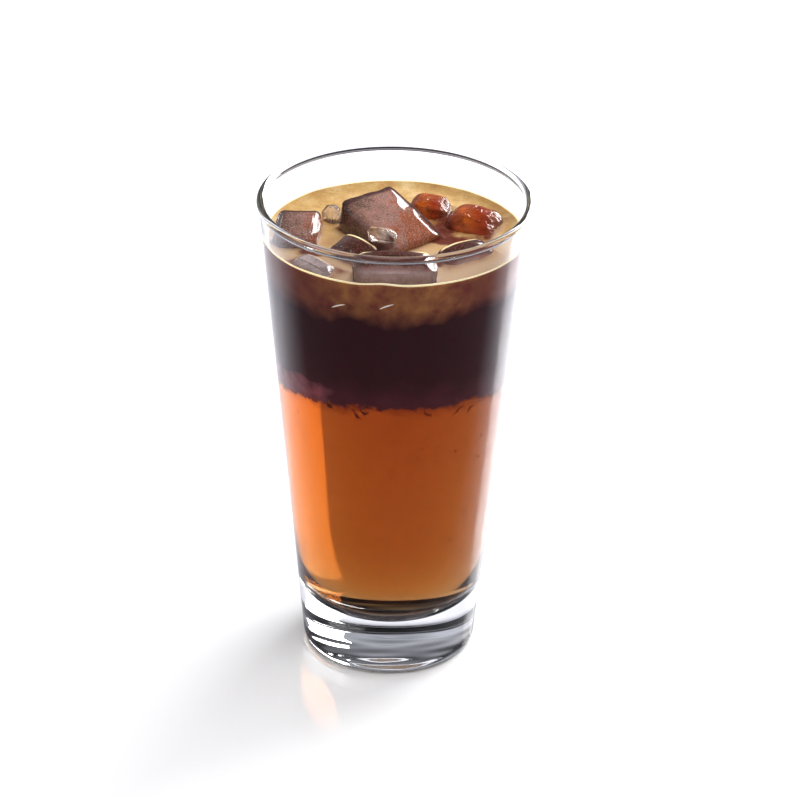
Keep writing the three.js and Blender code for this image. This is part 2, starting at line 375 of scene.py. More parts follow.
# Ice: pits, clouds, frost and melted hollows, and how strongly each one acts. Speckle and frost
# have the strengths of a grain and of the clouds, and where they start.
PIT_NOISE = (0.7 * MM, 4.0, 0.7)
PIT_DEPTH = 0.12 * MM
PIT_STRENGTH = 0.3
CLOUD_NOISE = (4.5 * MM, 3.0, 0.6)
FROST_NOISE = (0.45 * MM, 2.0, 0.6)
MELT_NOISE = (2.8 * MM, 1.5)
MELT_DEPTH = 0.75 * MM
MELT_STRENGTH = 0.8
TONE_CLOUDING = 0.6
COVER_CLOUDING = 1.3
SPECKLE = (4.5, 1.5, 0.3)
FROST = (5.0, -1.5, 0.15)
FROST_SHARE = 0.7
LINE_RAMP = (2.4, -0.1)
END_SHADE_RAMP = (2.0, -0.2)

# Glass: a very slow unevenness
GLASS_NOISE = (14.0 * MM, 1.0)
GLASS_WAVE = 1.0 * MM
GLASS_WAVE_STRENGTH = 0.04

# Light: a key low at the right and behind, and a fill above, in metres and watts
KEY_TURN = math.radians(39.5)
KEY_REACH = 0.8
KEY_HEIGHT = 0.3
KEY_AIM = (0, 0, 0.08)
KEY_SIDE = 0.52
KEY_POWER = 11.0
FILL_PLACE = (0.25, 0.05, 1.1)
FILL_AIM = (0, 0, 0)
FILL_SIDE = 1.2
FILL_POWER = 13.0

# Table and room: how their darker and brighter parts rise and fall, the table's over metres
TABLE_REACH = 3.0
TABLE_ROUGHNESS = 0.07
TABLE_SHINE = 0.4
TABLE_SHINE_IN_GLASS = 0.75
NEAR_START = 0.5
NEAR_FADE = 8
NEAR_SPREAD = 2
FAR_RAMP = (5.0, -3.0)
BACK_RAMP = (1.2, 0.5)
BACK_TOP_RAMP = (-1.5, 1.25)
BACK_FOOT_RAMP = (5.0, -0.75)
LEFT_RAMP = (-2.0, -0.3)
LEFT_TOP_RAMP = (-1.6, 1.2)
BARE_RAMP = (4.0, 0.2)

# How often light may bend and pass in the glass, the drink and the ice
BENDS = 64
PASSES = 16

# Sockets of a Mix node that mixes colours
MIX_FACTOR, MIX_FIRST, MIX_SECOND, MIX_RESULT = 0, 6, 7, 2


def camera_axes():
    """Place, right, up and back of the camera: level axes at the elevation, then rolled.

    The aim is moved off the target so that the target falls on its own pixel.
    """
    back = Vector((0, -math.cos(CAMERA_ELEVATION), math.sin(CAMERA_ELEVATION)))
    place = CAMERA_TARGET + back * CAMERA_DISTANCE
    roll = Matrix.Rotation(CAMERA_ROLL, 3, back)
    right = roll @ Vector((1, 0, 0))
    up = roll @ Vector((0, math.sin(CAMERA_ELEVATION), math.cos(CAMERA_ELEVATION)))
    step = CAMERA_DISTANCE / FOCAL_PIXELS
    aim = CAMERA_TARGET
    aim = aim + right * (PICTURE_SIDE / 2 - TARGET_PIXEL[0]) * step
    aim = aim + up * (TARGET_PIXEL[1] - PICTURE_SIDE / 2) * step
    back = (place - aim).normalized()
    right = up.cross(back).normalized()
    return place, right, back.cross(right), back


def make_camera():
    """The photograph's camera, with a long lens and no shift."""
    place, right, up, back = camera_axes()
    data = bpy.data.cameras.new("camera")
    data.sensor_width = SENSOR
    data.lens = FOCAL_PIXELS * SENSOR / PICTURE_SIDE
    camera = bpy.data.objects.new("camera", data)
    camera.matrix_world = Matrix((right, up, back)).transposed().to_4x4()
    camera.location = place
    bpy.context.scene.collection.objects.link(camera)
    bpy.context.scene.camera = camera


def outer_radius(z):
    """Straight cone from the foot to the rim, without the bead."""
    top = RIM_RADIUS - RIM_BEAD + RIM_WALL / 2
    return FOOT_RADIUS + (top - FOOT_RADIUS) * z / (HEIGHT - RIM_BEAD)


def inner_radius(z):
    """Outer cone less a wall that thickens evenly from rim to foot."""
    return outer_radius(z) - FOOT_WALL - (RIM_WALL - FOOT_WALL) * z / (HEIGHT - RIM_BEAD)


INNER_SLOPE = (inner_radius(HEIGHT) - inner_radius(0)) / HEIGHT


def wall_point(pixel, inset):
    """Where the camera ray through a pixel first meets the inner cone, drawn in by inset."""
    place, right, up, back = (np.array(axis) for axis in camera_axes())
    across = (pixel[0] - PICTURE_SIDE / 2) / FOCAL_PIXELS
    down = (pixel[1] - PICTURE_SIDE / 2) / FOCAL_PIXELS
    ray = right * across - up * down - back
    reach = inner_radius(0) - inset + INNER_SLOPE * place[2]
    a = ray[0] ** 2 + ray[1] ** 2 - (INNER_SLOPE * ray[2]) ** 2
    b = 2 * (place[0] * ray[0] + place[1] * ray[1] - reach * INNER_SLOPE * ray[2])
    c = place[0] ** 2 + place[1] ** 2 - reach ** 2
    return place + ray * (-b - math.sqrt(max(b * b - 4 * a * c, 0))) / (2 * a)


def arc(centre_r, centre_z, radius, start, end, steps):
    """Points of a circular arc in the profile plane, angles in degrees from the +r axis."""
    angle = np.radians(np.linspace(start, end, steps))
    return np.stack([centre_r + radius * np.cos(angle), centre_z + radius * np.sin(angle)], axis=1)


def line(start, end, steps):
    """Points of a straight stretch, crowded towards both ends so that normals stay straight."""
    share = 0.5 - 0.5 * np.cos(np.linspace(0, np.pi, steps))
    start, end = np.array(start), np.array(end)
    return start + (end - start) * share[:, None]


def ripple(points, length, waves, seed):
    """Mean of plane waves of about one length in seeded random directions and phases, about -1 to 1."""
    draw = np.random.default_rng(seed)
    direction = draw.normal(size=(waves, 3))
    direction /= np.linalg.norm(direction, axis=1)[:, None]
    stretch = draw.uniform(*WAVE_STRETCH, size=waves)
    phase = draw.uniform(0, 2 * np.pi, size=waves)
    angle = points @ (direction * stretch[:, None]).T * (2 * np.pi / length) + phase
    return np.sin(angle).mean(axis=-1) * math.sqrt(waves / 2)


def turned(profile, around=AROUND):
    """A profile of (r, z) rows carried round the Z axis: rows by angle, as points."""
    angle = np.linspace(0, 2 * np.pi, around, endpoint=False)
    r, z = profile[:, 0:1], profile[:, 1:2]
    return np.stack([r * np.cos(angle), r * np.sin(angle), z + 0 * angle], axis=-1)


def tube_faces(rows, columns):
    """Corner numbers of the quads of a grid that closes on itself along its columns."""
    row, column = np.meshgrid(np.arange(rows - 1), np.arange(columns), indexing="ij")
    after = (column + 1) % columns
    low, high = row * columns, (row + 1) * columns
    return np.stack([low + column, low + after, high + after, high + column], axis=-1).reshape(-1, 4)


def closed_shell(grid):
    """Vertices and faces of a grid of rings whose first and last rings close on their middles."""
    rows, columns = grid.shape[:2]
    ends = np.stack([grid[0].mean(axis=0), grid[-1].mean(axis=0)])
    vertices = np.concatenate([grid.reshape(-1, 3), ends])
    column = np.arange(columns)
    after = (column + 1) % columns
    first = np.stack([np.full(columns, rows * columns), after, column], axis=1)
    last_row = (rows - 1) * columns
    last = np.stack([np.full(columns, rows * columns + 1), last_row + column, last_row + after], axis=1)
    return vertices, [tube_faces(rows, columns), first, last]


def joined(shells):
    """Several (vertices, face groups) as one, with the corner numbers moved along."""
    vertices, groups, offset = [], [], 0
    for points, faces in shells:
        vertices.append(points)
        groups += [group + offset for group in faces]
        offset += len(points)
    return np.concatenate(vertices), groups


def mesh_piece(name, vertices, groups):
    """A smooth mesh object at the origin from vertices and groups of equal-sided faces."""
    mesh = bpy.data.meshes.new(name)
    faces = [face for group in groups for face in group.tolist()]
    mesh.from_pydata(vertices.tolist(), [], faces)
    mesh.polygons.foreach_set("use_smooth", np.ones(len(mesh.polygons), dtype=bool))
    mesh.update()
    piece = bpy.data.objects.new(name, mesh)
    bpy.context.scene.collection.objects.link(piece)
    return piece


def keep(piece, name, values):
    """Keeps one value at each point of a mesh under a name, for its finish."""
    piece.data.attributes.new(name, "FLOAT", "POINT").data.foreach_set("value", values)


def dress(piece, slot, nodes, *materials):
    """Gives a piece its materials and the body it rides on, and hides the nodes it stands for; its slot is
    not used.
    """
    for material in materials:
        piece.data.materials.append(material)
    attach(piece, "root")
    if nodes:
        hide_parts(*nodes)


def carve(piece, cutter):
    """Cuts one mesh out of another and keeps the result, with its new edges sharp."""
    cut = piece.modifiers.new("carve", "BOOLEAN")
    cut.operation = "DIFFERENCE"
    cut.solver = "MANIFOLD"
    cut.object = cutter
    seen = piece.evaluated_get(bpy.context.evaluated_depsgraph_get())
    mesh = bpy.data.meshes.new_from_object(seen)
    piece.modifiers.clear()
    piece.data = mesh
    mesh.materials.clear()
    mesh.set_sharp_from_angle(angle=CARVED_EDGE)
    bpy.data.objects.remove(cutter)


def wall_share(points):
    """1 at the wall, falling to 0 with the square of the distance over the width of the climb."""
    distance = np.hypot(points[..., 0], points[..., 1])
    return np.clip((distance - inner_radius(SURFACE)) / MENISCUS_WIDTH + 1, 0, 1) ** 2


def film(points):
    """Thickness of the crema: thinner where it climbs the wall."""
    return CREMA_FILM * (1 - FILM_THINNING * wall_share(points))


def meniscus(points):
    """Rise of the surface at the wall: more at the front, with a hump."""
    distance = np.hypot(points[..., 0], points[..., 1])
    front = -points[..., 1] / np.maximum(distance, MM)
    angle = np.arctan2(points[..., 1], points[..., 0])
    hump = HUMP_RISE * np.exp(-((angle - HUMP_TURN) / HUMP_SPREAD) ** 2)
    return (MENISCUS_RISE * (1 + MENISCUS_FRONT_SHARE * front) + hump) * wall_share(points)


def ice_frame(block):
    """Rotation and place of a block: turn about Z, then leans about its own axes."""
    turn, across, along = (math.radians(angle) for angle in (block.turn, *block.lean))
    spin = Matrix.Rotation(turn, 3, "Z") @ Matrix.Rotation(across, 3, "X")
    x, y, height = block.top
    place = np.array([x * MM, y * MM, SURFACE + height * MM])
    return np.array(spin @ Matrix.Rotation(along, 3, "Y")), place


def cube_shell(steps):
    """Points and quads of a cube from -1 to 1, with grid lines crowded towards its edges."""
    share = np.linspace(-1, 1, steps + 1)
    share = np.sin(share * ICE_CROWDING) / math.sin(ICE_CROWDING)
    u, v = np.meshgrid(share, share, indexing="ij")
    one = np.ones_like(u)
    sides = [(u, v, one), (v, u, -one), (one, u, v), (-one, v, u), (v, one, u), (u, -one, v)]
    points = np.concatenate([np.stack(side, axis=-1).reshape(-1, 3) for side in sides])
    row, column = np.meshgrid(np.arange(steps), np.arange(steps), indexing="ij")
    corner = row * (steps + 1) + column
    quad = np.stack([corner, corner + steps + 1, corner + steps + 2, corner + 1], axis=-1).reshape(-1, 4)
    quads = np.concatenate([quad + side * (steps + 1) ** 2 for side in range(len(sides))])
    _, first, number = np.unique(points.round(MERGE_DIGITS), axis=0, return_index=True, return_inverse=True)
    return points[first], number.reshape(-1)[quads]


CUBE_POINTS, CUBE_QUADS = cube_shell(ICE_STEPS)


def flattened(points, half, flat):
    """Presses points beyond a tilted plane back onto it, along one stretch of a block's length."""
    tilt, turn = math.radians(flat.tilt), math.radians(flat.turn)
    low, high = flat.stretch
    reach = half[0] * abs(math.cos(turn)) + half[1] * abs(math.sin(turn)) - flat.width * MM
    face = np.array([math.sin(tilt) * math.cos(turn), math.sin(tilt) * math.sin(turn), math.cos(tilt)])
    over = points @ face - math.sin(tilt) * reach - math.cos(tilt) * half[2]
    over *= np.clip(np.minimum(points[:, 1] - low * MM, high * MM - points[:, 1]) / FLAT_FADE, 0, 1)
    return points - face * np.maximum(over, 0)[:, None]


def chipped(points, half, depth_limit, seed):
    """Flattens points beyond seeded random planes that shave the upper edges and corners of a box."""
    draw = np.random.default_rng(seed)
    for _ in range(ICE_CHIPS):
        face = draw.choice([-1, 1], size=3) * draw.uniform(*CHIP_LEANS, size=3)
        face[2] = abs(face[2])
        face /= np.linalg.norm(face)
        depth = depth_limit * draw.uniform(*CHIP_DEPTHS)
        over = points @ face - np.abs(half * face).sum() + depth * (1 + np.abs(face).sum())
        points = points - face * np.maximum(over, 0)[:, None]
    return points


def ice_points(block, grow):
    """A rounded box, narrower below, its faces crowned and rippled as melting ice, grown outwards.

    With the points comes the way that each one faces.
    """
    look = ICE_LOOKS[block.finish]
    half = np.array(block.size) * MM / 2
    radius = block.radius * MM
    spread = CUBE_POINTS * half
    core = np.clip(spread, radius - half, half - radius)
    out = spread - core
    out /= np.linalg.norm(out, axis=1)[:, None]
    points = core + out * (radius + grow)
    share = points / half
    crown = ICE_CROWN * np.prod(1 - np.clip(np.abs(share), 0, 1) ** 2 * (np.abs(out) < FLAT_FACING), axis=1)
    seed = sum(ord(letter) for letter in block.name)
    waves = ICE_RIPPLE * ripple(points, ICE_RIPPLE_LENGTH, ICE_WAVES, seed)
    points = points + out * (crown + waves * np.clip(half.min() / SMALL_BLOCK, 0, 1))[:, None]
    for flat in FLATS.get(block.name, ()):
        points = flattened(points, half, flat)
    points = chipped(points, half, look.chip, seed)
    points[:, 2] -= look.dome * np.clip(share[:, 0], -1, 1) ** 2 * np.clip(share[:, 2], 0, 1)
    narrowing = 1 - ICE_TAPER * (0.5 - points[:, 2] / (2 * half[2]))
    points[:, :2] *= narrowing[:, None]
    points[:, 2] -= half[2]
    rotation, place = ice_frame(block)
    return points @ rotation.T + place, out @ rotation.T


def ice_cutter(grow):
    """Every block as one mesh, grown or shrunk by a little, to cut the drink with."""
    shells = [(ice_points(block, grow)[0], [CUBE_QUADS]) for block in ICE + SUNK_ICE]
    return mesh_piece("cutter", *joined(shells))


def ice_distance(points, block):
    """Distance from points to a block, taken as a box that narrows downwards; negative inside."""
    rotation, place = ice_frame(block)
    half = np.array(block.size) * MM / 2
    local = (points - place) @ rotation + [0, 0, half[2]]
    narrowing = 1 - ICE_TAPER * (0.5 - np.clip(local[..., 2:] / (2 * half[2]), -0.5, 0.5))
    over = np.abs(local) - half * np.where([True, True, False], narrowing, 1)
    return np.linalg.norm(np.maximum(over, 0), axis=-1) + np.minimum(over.max(axis=-1), 0)


def crema_height(points):
    """Height of the crema above its level: the climb at the wall, at the ice, and a slow swell."""
    rise = meniscus(points)
    for block in ICE:
        near = np.maximum(ice_distance(points, block), 0)
        rise = rise + ICE_CLIMB_RISE * np.exp(-near / ICE_CLIMB_WIDTH)
    return rise + CREMA_SWELL * ripple(points, CREMA_SWELL_LENGTH, *CREMA_WAVES)


def blend_height(points):
    """Height of the boundary between the layers: a saddle, waves, and finer unevenness at the wall."""
    angle = np.arctan2(points[..., 1], points[..., 0])
    reach = (points[..., 0] ** 2 + points[..., 1] ** 2) / inner_radius(BLEND_LEVEL) ** 2
    waves = sum(share * np.sin(count * angle + phase) for share, count, phase in BLEND_WAVES)
    fine = BLEND_RIPPLE * ripple(points, BLEND_RIPPLE_LENGTH, *BLEND_RIPPLES)
    return BLEND_LEVEL + reach * (BLEND_WAVE_HEIGHT * waves + fine - BLEND_SWING * np.cos(2 * angle))


def floor_arc(reach):
    """Profile of the rounded bottom inside, tangent to floor and leaning wall, moved out by reach."""
    lean = math.atan2(inner_radius(HEIGHT) - inner_radius(0), HEIGHT)
    centre_z = FLOOR + FLOOR_FILLET
    end_z = centre_z - FLOOR_FILLET * math.sin(lean)
    centre_r = inner_radius(end_z) - FLOOR_FILLET * math.cos(lean)
    return arc(centre_r, centre_z, FLOOR_FILLET + reach, -90, -math.degrees(lean), FLOOR_ARC_STEPS)


def glass_profile():
    """Outline of the tumbler: punt, foot, outer wall, beaded rim, inner wall, rounded bottom and floor."""
    lean = math.atan2(outer_radius(HEIGHT) - FOOT_RADIUS, HEIGHT)
    foot_centre = outer_radius(FOOT_CORNER) - FOOT_CORNER / math.cos(lean)
    share = np.linspace(PUNT_START, 1, PROFILE_STEPS)
    punt = np.stack([PUNT_RADIUS * share, PUNT_DEPTH * (1 - share ** 2)], axis=1)
    foot = arc(foot_centre, FOOT_CORNER, FOOT_CORNER, -90, -math.degrees(lean), PROFILE_STEPS)
    lip = arc(RIM_RADIUS - RIM_BEAD, HEIGHT - RIM_BEAD, RIM_BEAD, 0, 180, LIP_STEPS)
    fade = np.linspace(1, 0, PROFILE_STEPS)
    bead_z = HEIGHT - RIM_BEAD - BEAD_FADE * fade
    swell = (RIM_BEAD - RIM_WALL / 2) * (1 - fade ** 2 * (3 - 2 * fade))
    outside = np.stack([outer_radius(bead_z) + swell, bead_z], axis=1)
    inside = np.stack([inner_radius(bead_z) - swell, bead_z], axis=1)[::-1]
    corner = floor_arc(0)[::-1]
    return np.concatenate([
        punt, line(punt[-1], foot[0], FOOT_STEPS)[1:-1],
        foot, line(foot[-1], outside[0], GLASS_WALL_STEPS)[1:-1],
        outside[:-1], lip, inside[1:], line(inside[-1], corner[0], GLASS_WALL_STEPS)[1:-1],
        corner, line(corner[-1], (FLOOR_RING, FLOOR), PROFILE_STEPS)[1:],
    ])


def make_glass(clear, wetted):
    """The tumbler's profile turned about its axis; where the drink wets the wall it has a second finish."""
    grid = turned(glass_profile())
    inside_punt = np.clip(1 - np.hypot(grid[..., 0], grid[..., 1]) / PUNT_RADIUS, 0, 1)
    inside_punt *= grid[..., 2] < FLOOR / 2
    uneven = PUNT_RIPPLE * ripple(grid * PUNT_RIPPLE_STRETCH, PUNT_RIPPLE_LENGTH, *PUNT_WAVES)
    grid[..., 2] += uneven * np.minimum(inside_punt * PUNT_RIPPLE_FADE, 1)
    glass = mesh_piece("glass_tumbler", *closed_shell(grid))
    middle = np.zeros(len(glass.data.polygons) * 3)
    glass.data.polygons.foreach_get("center", middle)
    middle = middle.reshape(-1, 3)
    within = np.hypot(middle[:, 0], middle[:, 1]) < inner_radius(middle[:, 2]) + WET_MARGIN
    wet = within & (middle[:, 2] > FLOOR - MM) & (middle[:, 2] < SURFACE + meniscus(middle) - film(middle))
    dress(glass, "glass", ["glass"], clear, wetted)
    glass.data.polygons.foreach_set("material_index", wet.astype(np.int32))


def drink_profile(reach):
    """Inner outline of the glass from the middle of the floor up to the surface, moved out by reach."""
    corner = floor_arc(reach)
    floor = line((FLOOR_RING, FLOOR - reach), corner[0], PROFILE_STEPS)
    wall = line(corner[-1], (inner_radius(SURFACE) + reach, SURFACE), DRINK_WALL_STEPS)
    return np.concatenate([floor[:-1], corner, wall[1:]])


def surface_disc(reach, rings):
    """Rings of a level disc at the surface, from the wall to near the axis, crowded at the wall."""
    share = np.linspace(1, 0, rings) ** 2
    radius = SURFACE_RING + (inner_radius(SURFACE) + reach - SURFACE_RING) * (1 - share[::-1])
    return turned(np.stack([radius, np.full(rings, SURFACE)], axis=1))


def to_wall(disc, reach):
    """Widens a disc so that its edge lies at the inner wall, moved out by reach, at its own height."""
    edge = np.hypot(disc[0, :, 0], disc[0, :, 1])
    disc[..., :2] *= ((inner_radius(disc[0, :, 2]) + reach) / edge)[None, :, None]


def bubble(pixel, scale):
    """A small ball just inside the wall as rings of latitude, its faces turned inwards as a hollow."""
    latitudes = arc(0, 0, BUBBLE_RADIUS * scale, -BALL_LATITUDE, BALL_LATITUDE, BALL_RINGS)
    ball = turned(latitudes, BALL_AROUND) + wall_point(pixel, BUBBLE_INSET)
    return closed_shell(ball[:, ::-1])


def thread(start, end, thickness, seed):
    """A tapered thread of coffee along a wavering path just inside the wall, as rings along the path."""
    radius = thickness * MM
    share = np.linspace(*THREAD_ENDS, THREAD_STEPS)
    first, last = (wall_point(pixel, radius + THREAD_INSET) for pixel in (start, end))
    path = first + (last - first) * share[:, None]
    inward = -path * [1, 1, 0] / np.linalg.norm(path[:, :2], axis=1)[:, None]
    waver = np.sin(share * THREAD_WAVER_TURN + seed) * radius * THREAD_WAVER
    path = path + inward * np.abs(waver)[:, None]
    path[:, 2] += waver
    along = np.gradient(path, axis=0)
    along /= np.linalg.norm(along, axis=1)[:, None]
    side = np.cross(along, inward)
    side /= np.linalg.norm(side, axis=1)[:, None]
    other = np.cross(along, side)
    angle = np.linspace(0, 2 * np.pi, THREAD_AROUND, endpoint=False)
    swell = 1 + THREAD_SWELL * np.sin(share * THREAD_SWELL_TURN + seed)
    width = radius * np.sin(np.pi * share) ** THREAD_TAPER * swell
    ring = side[:, None] * np.cos(angle)[:, None] + other[:, None] * np.sin(angle)[:, None]
    return closed_shell(path[:, None] + ring * width[:, None, None])


def make_drink(amber):
    """The whole drink as one body: wall outline, then its top under the crema, with bubbles as hollows."""
    top = surface_disc(WALL_REACH, DRINK_RINGS)
    top[..., 2] += meniscus(top) - film(top) + 2 * NEST
    to_wall(top, WALL_REACH)
    wall = turned(drink_profile(WALL_REACH)[:-1])
    wall[..., 2] = np.minimum(wall[..., 2], top[0, :, 2])
    drink = mesh_piece("amber_drink", *closed_shell(np.concatenate([wall, top])))
    carve(drink, ice_cutter(-NEST))
    draws = np.random.default_rng(BUBBLE_SEED).random(len(BUBBLE_PIXELS))
    scales = BUBBLE_LEAST + BUBBLE_SPREAD * draws
    bubbles = [bubble(pixel, scale) for pixel, scale in zip(BUBBLE_PIXELS, scales)]
    hollow = mesh_piece("hollow", *joined(bubbles))
    with bpy.context.temp_override(active_object=drink, selected_editable_objects=[drink, hollow]):
        bpy.ops.object.join()
    dress(drink, "amber", ["amber_layer"], amber)


def keep_ice(piece, blocks, width):
    """Keeps at each point how near the ice is: 1 at a block, falling off over a width."""
    points = np.zeros(len(piece.data.vertices) * 3)
    piece.data.vertices.foreach_get("co", points)
    nearest = np.min([ice_distance(points.reshape(-1, 3), block) for block in blocks], axis=0)
    keep(piece, "ice", np.exp(-np.maximum(nearest, 0) / width))


def make_coffee(stain, strand):
    """The coffee inside the drink, from the uneven boundary up to the crema, and threads below it."""
    reach = -STAIN_INSET
    high = surface_disc(reach, COFFEE_RINGS)
    low = high.copy()
    low[..., :2] *= (inner_radius(BLEND_LEVEL) + reach) / (inner_radius(SURFACE) + reach)
    low[..., 2] = blend_height(low) - BLEND_DROP
    to_wall(low, reach)
    high[..., 2] += meniscus(high) - film(high)
    to_wall(high, reach)
    share = np.linspace(0, 1, COFFEE_WALL_STEPS)[1:-1, None, None]
    wall = low[0] + (high[0] - low[0]) * share
    coffee = mesh_piece("coffee_stain", *closed_shell(np.concatenate([low[::-1], wall, high])))
    carve(coffee, ice_cutter(NEST))
    keep_ice(coffee, [block for block in ICE if block.name in ICE_SEEN], ICE_SHOWS)
    dress(coffee, "coffee", ["coffee_layer"], stain)
    threads = [thread(*route, seed) for seed, route in enumerate(THREAD_PIXELS)]
    dress(mesh_piece("coffee_threads", *joined(threads)), "coffee", [], strand)


def make_crema(foam):
    """A thin film over the drink: its upper sheet follows the climb at wall and ice, its under side too."""
    upper = surface_disc(WALL_REACH, CREMA_RINGS)
    upper[..., 2] += crema_height(upper)
    under = upper.copy()
    under[..., 2] = SURFACE + meniscus(under) - film(under)
    upper[..., 2] = np.maximum(upper[..., 2], under[..., 2] + CREMA_LEAST)
    to_wall(upper, WALL_REACH)
    to_wall(under, WALL_REACH)
    crema = mesh_piece("crema_film", *closed_shell(np.concatenate([under[::-1], upper])))
    carve(crema, ice_cutter(-NEST / 2))
    keep_ice(crema, ICE, FOAM_RING)
    dress(crema, "crema", ["crema"], foam)


def make_ice(finishes):
    """Each block as its own mesh, with values kept at its points for the finish.

    upper is how far a point faces up, across its place from left to right, ends how near it
    is to the ends of the block, and line a thin line along the upper edges at the back; the
    finish paints light and shade by them.
    """
    for block in ICE + SUNK_ICE:
        look = ICE_LOOKS[block.finish]
        points, out = ice_points(block, 0)
        piece = mesh_piece(block.name + "_block", points, [CUBE_QUADS])
        piece.data.set_sharp_from_angle(angle=ICE_EDGE)
        rotation, place = ice_frame(block)
        local = (points - place) @ rotation
        away = rotation[1, :2]
        room = np.array(block.size[:2]) * MM / 2 - np.sign(away) * local[:, :2]
        edge = (room / np.maximum(np.abs(away), LINE_LEAST_SLANT)).min(axis=1)
        rounded = ROUNDED_SHARE * block.radius * MM
        facing = np.clip((out[:, 2] - look.line_facing) * LINE_FACING_FADE, 0, 1)
        # How near each point is to the ends, for painted shade there
        ends = np.abs(local[:, 0]) - block.size[0] * MM / 2 + END_SHADE_WIDTH
        left, right = points[:, 0].min(), points[:, 0].max()
        keep(piece, "upper", out[:, 2])
        keep(piece, "across", (points[:, 0] - left) / (right - left))
        keep(piece, "ends", np.clip(ends / END_SHADE_WIDTH, 0, 1))
        keep(piece, "line", np.clip((look.line_width + rounded - edge) / LINE_FADE, 0, 1) * facing)
        dress(piece, "ice", [block.name] if block in ICE else [], finishes[block.finish])


def operation(name, swapped=False):
    """A method that joins a value and another one, or a number, by a Math node."""
    def method(self, other):
        first, second = (other, self) if swapped else (self, other)
        return self.sheet.node("ShaderNodeMath", {"operation": name}, {0: first, 1: second})
    return method


class Value:
    """An output socket; arithmetic on it adds Math nodes to its sheet."""

    def __init__(self, sheet, socket):
        self.sheet = sheet
        self.socket = socket

    __add__ = __radd__ = operation("ADD")
    __mul__ = __rmul__ = operation("MULTIPLY")
    __sub__ = operation("SUBTRACT")
    __rsub__ = operation("SUBTRACT", swapped=True)
    __truediv__ = operation("DIVIDE")
    __pow__ = operation("POWER")

    def clamped(self):
        """The value held between 0 and 1."""
        return self.sheet.node("ShaderNodeClamp", {}, {"Value": self})

    def ramped(self, slope, offset):
        """A straight rise or fall, held between 0 and 1."""
        return (self * slope + offset).clamped()

    def swing(self, height):
        """The value about zero: 0 to 1 becomes minus half the height to half of it."""
        return (self - 0.5) * height


class Sheet:
    """A node tree that is written as calls: each call adds one node and returns its output."""

    def __init__(self, owner, output):
        owner.use_nodes = True
        self.tree = owner.node_tree
        self.tree.nodes.clear()
        self.end = self.tree.nodes.new(output)

    def node(self, kind, settings, inputs, output=0):
        """One node: its type, its settings, and the values or links of its sockets."""
        made = self.tree.nodes.new(kind)
        for key, value in settings.items():
            if key == "stops":
                self.set_stops(made.color_ramp, value)
            else:
                setattr(made, key, value)
        for key, value in inputs.items():
            self.put(made.inputs[key], value)
        return Value(self, made.outputs[output])

    def set_stops(self, ramp, stops):
        """Gives a ramp its places and colours."""
        while len(ramp.elements) < len(stops):
            ramp.elements.new(1)
        for element, (position, colour) in zip(ramp.elements, stops):
            element.position = position
            element.color = (*colour, 1)

    def put(self, socket, value):
        """Links a value to a socket, or sets the socket to a number or a colour."""
        if isinstance(value, Value):
            self.tree.links.new(value.socket, socket)
        elif socket.type == "RGBA":
            socket.default_value = (*value, 1)
        else:
            socket.default_value = value

    def finish(self, **sockets):
        """Links the closing node."""
        for key, value in sockets.items():
            self.put(self.end.inputs[key], value)

    def place(self, kind="Object"):
        """The point on the object, in metres, or for a world the direction, which is called Generated."""
        return self.node("ShaderNodeTexCoord", {}, {}, kind)

    def parts(self, vector):
        """The three coordinates of a vector."""
        first = self.node("ShaderNodeSeparateXYZ", {}, {"Vector": vector})
        return [Value(self, socket) for socket in first.socket.node.outputs]

    def path(self, name):
        """What is known of a ray's path, held between 0 and 1."""
        return self.node("ShaderNodeLightPath", {}, {}, name).clamped()

    def attribute(self, name):
        """A value kept at the points of the mesh."""
        return self.node("ShaderNodeAttribute", {"attribute_name": name}, {}, "Fac")

    def noise(self, size, detail, rough=0.55):
        """Noise of about the given grain size in metres, 0 to 1."""
        inputs = {"Vector": self.place(), "Scale": 1 / size, "Detail": detail, "Roughness": rough}
        return self.node("ShaderNodeTexNoise", {}, inputs, "Fac")

    def uneven(self, size, detail, height):
        """Noise that swings about zero by a height."""
        return self.noise(size, detail).swing(height)

    def mix(self, factor, first, second):
        """A colour between two colours."""
        inputs = {MIX_FACTOR: factor, MIX_FIRST: first, MIX_SECOND: second}
        return self.node("ShaderNodeMix", {"data_type": "RGBA"}, inputs, MIX_RESULT)

    def bump(self, height, strength, distance, under=None):
        """A normal tilted by the slope of a height, over another bump if there is one."""
        inputs = {"Height": height, "Strength": strength, "Distance": distance}
        if under:
            inputs["Normal"] = under
        return self.node("ShaderNodeBump", {}, inputs)

    def ramp(self, factor, stops):
        """A colour that follows a value through stops."""
        return self.node("ShaderNodeValToRGB", {"stops": stops}, {"Fac": factor})

    def principled(self, **inputs):
        """The main shader, its sockets named with low lines for spaces."""
        named = {key.replace("_", " "): value for key, value in inputs.items()}
        return self.node("ShaderNodeBsdfPrincipled", {}, named)

    def unbent(self):
        """A clear surface that light passes straight through."""
        return self.principled(Base_Color=WHITE, Roughness=0.0, IOR=1.0, Transmission_Weight=1.0)

    def blend(self, share, first, second):
        """Two shaders mixed by a share of the second."""
        return self.node("ShaderNodeMixShader", {}, {0: share, 1: first, 2: second})

    def absorb(self, colour, density):
        """A body that takes colour with depth."""
        return self.node("ShaderNodeVolumeAbsorption", {}, {"Color": colour, "Density": density})

    def at_wall(self, x, y, z, fade):
        """1 in a thin skin at the inner wall of the glass, 0 further in."""
        distance = (x * x + y * y) ** 0.5 - z * INNER_SLOPE
        return ((distance - (inner_radius(0) - WALL_SKIN)) / fade).clamped()


def material(name):
    """A new material and the sheet to write it on."""
    made = bpy.data.materials.new(name)
    return made, Sheet(made, "ShaderNodeOutputMaterial")


